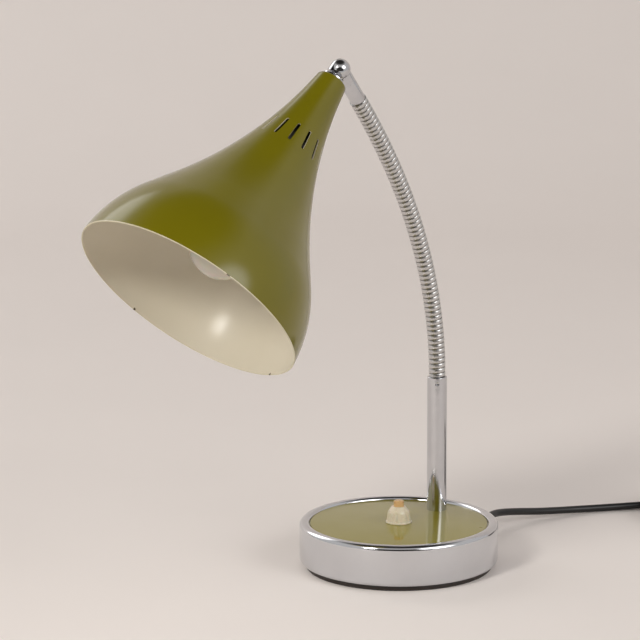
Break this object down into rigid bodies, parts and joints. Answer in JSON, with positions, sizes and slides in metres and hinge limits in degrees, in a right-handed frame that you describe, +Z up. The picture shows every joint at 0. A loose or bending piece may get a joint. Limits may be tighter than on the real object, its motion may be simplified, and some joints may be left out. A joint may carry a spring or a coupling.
{
  "type": "gooseneck desk lamp",
  "caption": "Desk lamp with a flared bell shade on a flexible gooseneck, standing on a round weighted base with a push button.",
  "frame": {"origin": "centre of the underside of the base, on the surface the lamp stands on", "axes": "+Z up, +Y from the base centre towards the stem at the back, -Y towards the shade, +X to the lamp's left as seen from the shade's side looking back"},
  "size_m": [0.2723, 0.5372, 0.3641],
  "materials": {
    "drum_chrome": "polished",
    "plate_paint": "satin",
    "weight_iron": "matte",
    "foot_plastic": "satin",
    "zinc_steel": "satin",
    "stem_chrome": "polished",
    "neck_steel": "satin",
    "knuckle_brass": "polished",
    "shade_enamel": "gloss",
    "holder_plastic": "gloss",
    "ceramic": "gloss",
    "contact_brass": "satin",
    "cap_aluminium": "satin",
    "opal_glass": "gloss",
    "switch_ivory": "gloss",
    "button_amber": "gloss",
    "switch_black": "gloss",
    "spring_steel": "polished",
    "cord_pvc": "satin",
    "relief_pvc": "satin",
    "plug_pvc": "satin",
    "pin_nickel": "polished"
  },
  "bodies": {
    "base": {"base_shell": "drum_chrome", "top_plate": "plate_paint", "base_weight": "weight_iron", "bottom_cover": "foot_plastic", "cover_screws": "zinc_steel", "stem_tube": "stem_chrome", "stem_plug": "zinc_steel", "stem_nipple": "zinc_steel", "stem_washer": "zinc_steel", "stem_nut": "zinc_steel", "neck_01": "neck_steel", "switch_collar": "switch_ivory", "switch_barrel": "switch_black", "switch_body": "switch_black", "switch_spring": "spring_steel", "switch_terminals": "contact_brass", "cord_relief": "relief_pvc", "cord_run": "cord_pvc", "cord_coil": "cord_pvc", "cord_tie": "relief_pvc", "plug_body": "plug_pvc", "plug_pins": "pin_nickel"},
    "neck_length_02": {"neck_02": "neck_steel"},
    "neck_length_03": {"neck_03": "neck_steel"},
    "neck_length_04": {"neck_04": "neck_steel"},
    "neck_length_05": {"neck_05": "neck_steel"},
    "neck_length_06": {"neck_06": "neck_steel"},
    "neck_length_07": {"neck_07": "neck_steel"},
    "neck_length_08": {"neck_08": "neck_steel"},
    "neck_length_09": {"neck_09": "neck_steel"},
    "neck_length_10": {"neck_10": "neck_steel"},
    "neck_length_11": {"neck_11": "neck_steel"},
    "neck_length_12": {"neck_12": "neck_steel"},
    "neck_length_13": {"neck_13": "neck_steel"},
    "neck_length_14": {"neck_14": "neck_steel"},
    "neck_length_15": {"neck_15": "neck_steel"},
    "neck_length_16": {"neck_16": "neck_steel", "neck_ferrule": "knuckle_brass", "lower_knuckle": "knuckle_brass"},
    "head": {"upper_knuckle": "knuckle_brass", "pivot_screw": "knuckle_brass", "shade": "shade_enamel", "shade_lock_nut": "zinc_steel", "holder_coupling": "zinc_steel", "holder_nipple": "zinc_steel", "holder_cap": "holder_plastic", "holder_skirt": "holder_plastic", "holder_insert": "ceramic", "thread_sleeve": "contact_brass", "centre_contact": "contact_brass", "lamp_cap": "cap_aluminium", "lamp_globe": "opal_glass"},
    "button": {"push_button": "button_amber"}
  },
  "joints": [
    {"name": "neck_bend_01", "type": "hinge", "parent": "base", "child": "neck_length_02", "pos_m": [0, 0.04453, 0.14289], "axis": [1, 0, 0], "range_deg": [-5.5, 4.5]},
    {"name": "neck_side_02", "type": "hinge", "parent": "neck_length_02", "child": "neck_length_03", "pos_m": [0, 0.04313, 0.15722], "axis": [0, 0.9917, 0.1284], "range_deg": [-5.5, 5.5]},
    {"name": "neck_bend_03", "type": "hinge", "parent": "neck_length_03", "child": "neck_length_04", "pos_m": [0, 0.04085, 0.17144], "axis": [1, 0, 0], "range_deg": [-5.5, 4.5]},
    {"name": "neck_side_04", "type": "hinge", "parent": "neck_length_04", "child": "neck_length_05", "pos_m": [0, 0.03774, 0.18549], "axis": [0, 0.9699, 0.2436], "range_deg": [-5.5, 5.5]},
    {"name": "neck_bend_05", "type": "hinge", "parent": "neck_length_05", "child": "neck_length_06", "pos_m": [0, 0.03386, 0.19936], "axis": [1, 0, 0], "range_deg": [-5.5, 4.5]},
    {"name": "neck_side_06", "type": "hinge", "parent": "neck_length_06", "child": "neck_length_07", "pos_m": [0, 0.02924, 0.213], "axis": [0, 0.9386, 0.3449], "range_deg": [-5.5, 5.5]},
    {"name": "neck_bend_07", "type": "hinge", "parent": "neck_length_07", "child": "neck_length_08", "pos_m": [0, 0.02395, 0.22639], "axis": [1, 0, 0], "range_deg": [-5.5, 4.5]},
    {"name": "neck_side_08", "type": "hinge", "parent": "neck_length_08", "child": "neck_length_09", "pos_m": [0, 0.01803, 0.23951], "axis": [0, 0.9019, 0.432], "range_deg": [-5.5, 5.5]},
    {"name": "neck_bend_09", "type": "hinge", "parent": "neck_length_09", "child": "neck_length_10", "pos_m": [0, 0.01153, 0.25236], "axis": [1, 0, 0], "range_deg": [-5.5, 4.5]},
    {"name": "neck_side_10", "type": "hinge", "parent": "neck_length_10", "child": "neck_length_11", "pos_m": [0, 0.0045, 0.26493], "axis": [0, 0.8628, 0.5055], "range_deg": [-5.5, 5.5]},
    {"name": "neck_bend_11", "type": "hinge", "parent": "neck_length_11", "child": "neck_length_12", "pos_m": [0, -0.00301, 0.27721], "axis": [1, 0, 0], "range_deg": [-5.5, 4.5]},
    {"name": "neck_side_12", "type": "hinge", "parent": "neck_length_12", "child": "neck_length_13", "pos_m": [0, -0.01095, 0.28922], "axis": [0, 0.8243, 0.5661], "range_deg": [-5.5, 5.5]},
    {"name": "neck_bend_13", "type": "hinge", "parent": "neck_length_13", "child": "neck_length_14", "pos_m": [0, -0.01929, 0.30096], "axis": [1, 0, 0], "range_deg": [-5.5, 4.5]},
    {"name": "neck_side_14", "type": "hinge", "parent": "neck_length_14", "child": "neck_length_15", "pos_m": [0, -0.02798, 0.31244], "axis": [0, 0.7886, 0.6149], "range_deg": [-5.5, 5.5]},
    {"name": "neck_bend_15", "type": "hinge", "parent": "neck_length_15", "child": "neck_length_16", "pos_m": [0, -0.03699, 0.32368], "axis": [1, 0, 0], "range_deg": [-5.5, 4.5]},
    {"name": "head_tilt", "type": "hinge", "parent": "neck_length_16", "child": "head", "pos_m": [0, -0.06555, 0.35708], "axis": [0.9964, -0.0644, -0.0555], "range_deg": [-60, 15]},
    {"name": "button_push", "type": "slide", "parent": "base", "child": "button", "axis": [0, 0, 1], "range_m": [-0.003, 0], "stiffness_N_per_m": 300, "springref_m": 0.002, "deforming": ["switch_spring"]}
  ]
}
